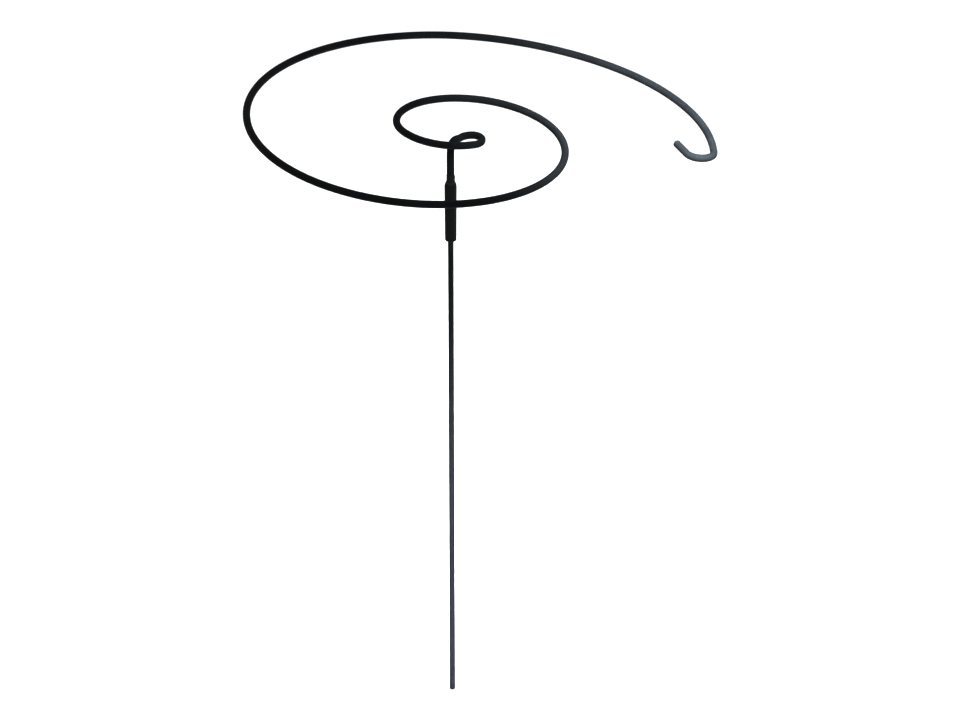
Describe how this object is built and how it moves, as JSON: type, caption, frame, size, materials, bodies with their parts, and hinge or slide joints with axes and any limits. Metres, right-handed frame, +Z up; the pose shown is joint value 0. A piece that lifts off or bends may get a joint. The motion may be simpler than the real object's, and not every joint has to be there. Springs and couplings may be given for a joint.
{
  "type": "spiral plant support",
  "caption": "Spiral grow-through plant support: a black steel rod bent into an opening spiral, plugged by a sleeve onto a straight ground stake.",
  "frame": {"origin": "centre of the ground stake's flat foot", "axes": "+Z up along the stake, the sleeve and the stem; -Y towards the pictured front; +X towards the hook at the spiral's outer end"},
  "size_m": [0.4066, 0.3451, 0.5721],
  "materials": {
    "stake_coating": "satin black powder coat over steel rod",
    "sleeve_plastic": "fine matt black moulded plastic",
    "collar_coating": "rough black powder coat over a crimped steel ferrule",
    "rod_coating": "satin black powder coat over steel rod"
  },
  "bodies": {
    "stake": {"ground_stake": "stake_coating"},
    "sleeve": {"joint_sleeve": "sleeve_plastic"},
    "head": {"spiral_rod": "rod_coating", "stop_collar": "collar_coating"}
  },
  "joints": [
    {"name": "sleeve_lift", "type": "slide", "parent": "stake", "child": "sleeve", "axis": [0, 0, 1], "range_m": [0, 0.03]},
    {"name": "head_turn", "type": "hinge", "parent": "sleeve", "child": "head", "pos_m": [0, 0, 0.5186], "axis": [0, 0, 1], "continuous": true}
  ]
}
